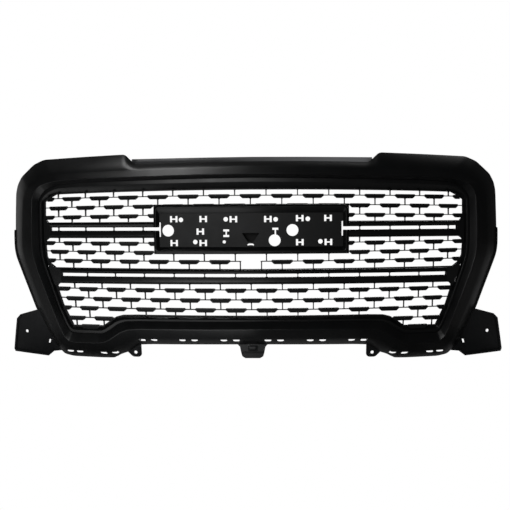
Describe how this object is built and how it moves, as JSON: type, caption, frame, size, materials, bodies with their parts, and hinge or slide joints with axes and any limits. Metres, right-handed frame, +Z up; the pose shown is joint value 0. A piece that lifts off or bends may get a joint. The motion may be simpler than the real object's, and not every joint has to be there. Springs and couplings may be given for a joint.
{
  "type": "front grille",
  "caption": "Bowed pickup-truck front grille in black moulded plastic, with a wide surround, staggered-cell lattice, twin-rail crossbars, emblem carrier and mounting brackets.",
  "frame": {"origin": "middle of the flat back of the locating tab at the foot of the grille", "axes": "+Z up, the front faces -Y, +X is to the right of a viewer who looks at the front"},
  "size_m": [1.5482, 0.3236, 0.6208],
  "materials": {
    "satin_plastic": "satin moulded black",
    "matte_plastic": "matte moulded black",
    "dark_plastic": "matte moulded black",
    "bracket_plastic": "matte moulded black"
  },
  "bodies": {
    "root": {"surround": "satin_plastic", "inner_bezel": "matte_plastic", "lattice_upper": "matte_plastic", "lattice_middle": "matte_plastic", "lattice_lower": "matte_plastic", "crossbar_upper_left": "satin_plastic", "crossbar_upper_right": "satin_plastic", "crossbar_lower": "satin_plastic", "cheek_upper_right": "matte_plastic", "cheek_upper_left": "matte_plastic", "cheek_lower_right": "matte_plastic", "cheek_lower_left": "matte_plastic", "emblem_frame_upper": "satin_plastic", "emblem_frame_lower": "satin_plastic", "emblem_plate": "matte_plastic", "emblem_pocket": "dark_plastic", "wing_left": "bracket_plastic", "wing_right": "bracket_plastic", "side_strip_left": "satin_plastic", "side_strip_right": "satin_plastic", "top_flange": "satin_plastic", "screw_tab_left": "bracket_plastic", "screw_tab_right": "bracket_plastic", "centre_tab": "bracket_plastic"}
  },
  "joints": []
}
